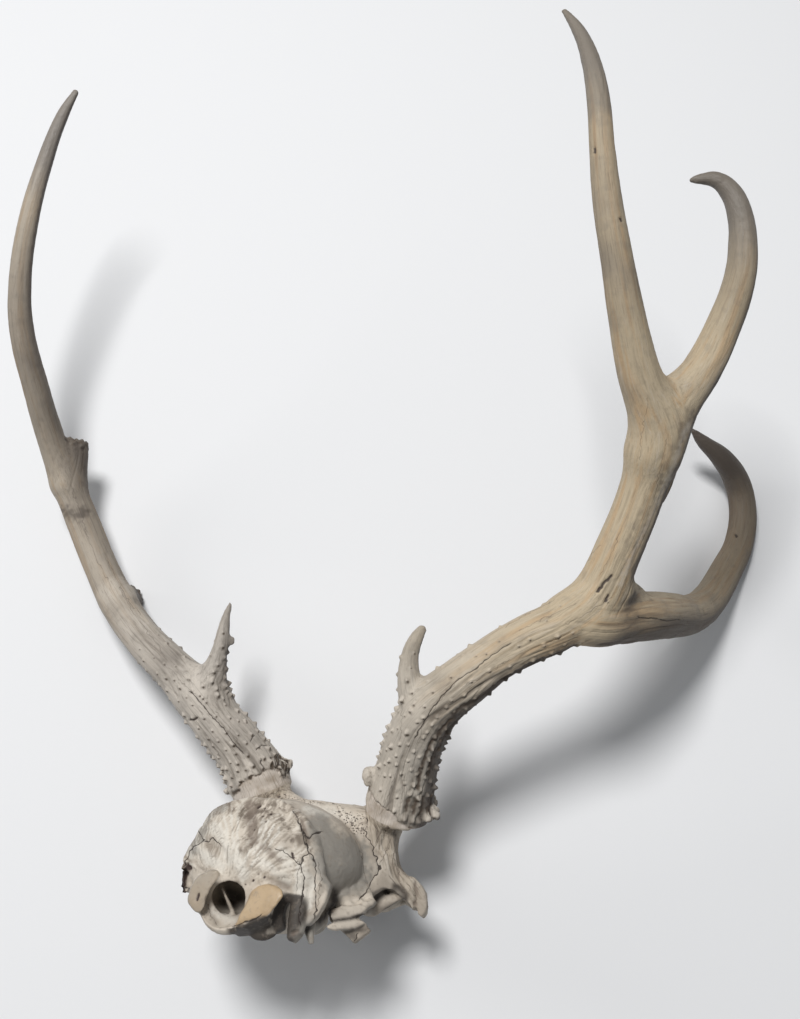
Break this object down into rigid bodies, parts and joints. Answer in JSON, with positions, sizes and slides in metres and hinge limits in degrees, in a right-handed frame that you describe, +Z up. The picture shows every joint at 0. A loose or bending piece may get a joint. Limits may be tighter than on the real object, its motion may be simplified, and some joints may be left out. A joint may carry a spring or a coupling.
{
  "type": "deer antlers on a broken skull",
  "caption": "Branched deer antlers still grown on the broken back of their skull, with beaded lower beams, burrs and curved tines, lying at rest on the floor.",
  "frame": {"origin": "on the floor, under the middle of the box round the whole object", "axes": "+Z up; +Y from the skull towards the tips of the long tines; +X towards the animal's right antler"},
  "size_m": [0.4697, 0.4926, 0.2838],
  "materials": {
    "skull_bone": "dry weathered skull bone, off-white with grey and tan stains",
    "right_antler": "dry antler, grey-beige below and tan above, with fine lengthwise grain",
    "left_antler": "dry antler, grey-beige with fine lengthwise grain"
  },
  "bodies": {
    "root": {"skull": "skull_bone", "right_lower_beam": "right_antler", "right_rear_branch": "right_antler", "right_long_tine": "right_antler", "right_hooked_tine": "right_antler", "right_front_branch": "right_antler", "left_lower_beam": "left_antler", "left_upper_beam": "left_antler", "left_long_tine": "left_antler"}
  },
  "joints": []
}
